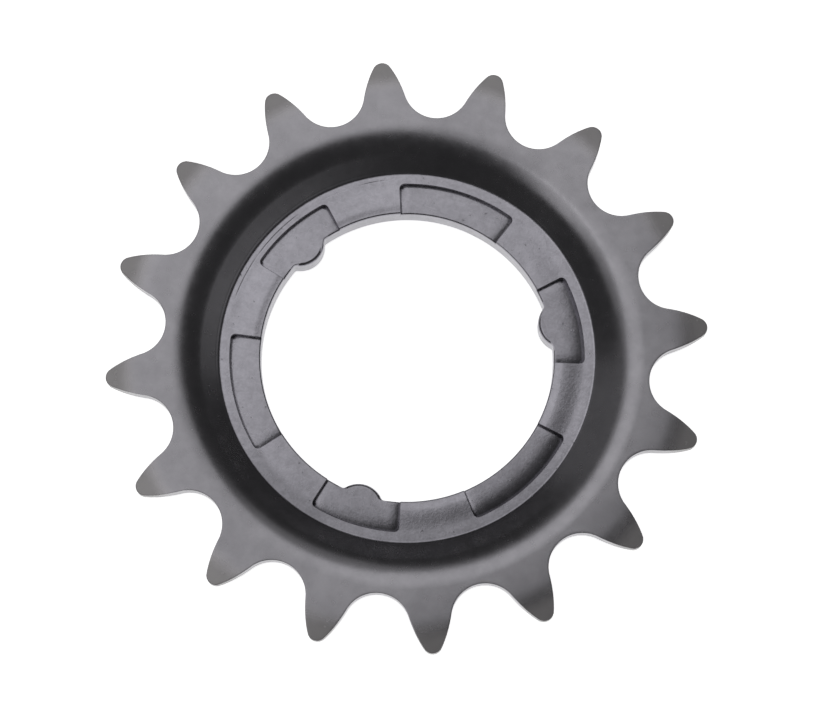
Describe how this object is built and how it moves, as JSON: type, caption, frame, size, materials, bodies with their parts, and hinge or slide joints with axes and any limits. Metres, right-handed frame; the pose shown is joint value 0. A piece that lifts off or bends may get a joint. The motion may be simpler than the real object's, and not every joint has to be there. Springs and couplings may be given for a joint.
{
  "type": "hub gear sprocket",
  "caption": "Dished steel sprocket for the driver of an internally geared bicycle hub, with lugs in its bore and teeth for a bicycle chain.",
  "frame": {"origin": "centre of the bore, on the back face of the inner ring, which the hub's shoulder touches", "axes": "+Z along the bore towards the open side of the dish, where the toothed ring stands; one lug and the tooth in line with it lie on -Y"},
  "size_m": [0.0712, 0.0712, 0.0063],
  "materials": {
    "blackened_steel": "satin black oxide with a dark sheen"
  },
  "bodies": {
    "root": {"sprocket": "blackened_steel"}
  },
  "joints": []
}
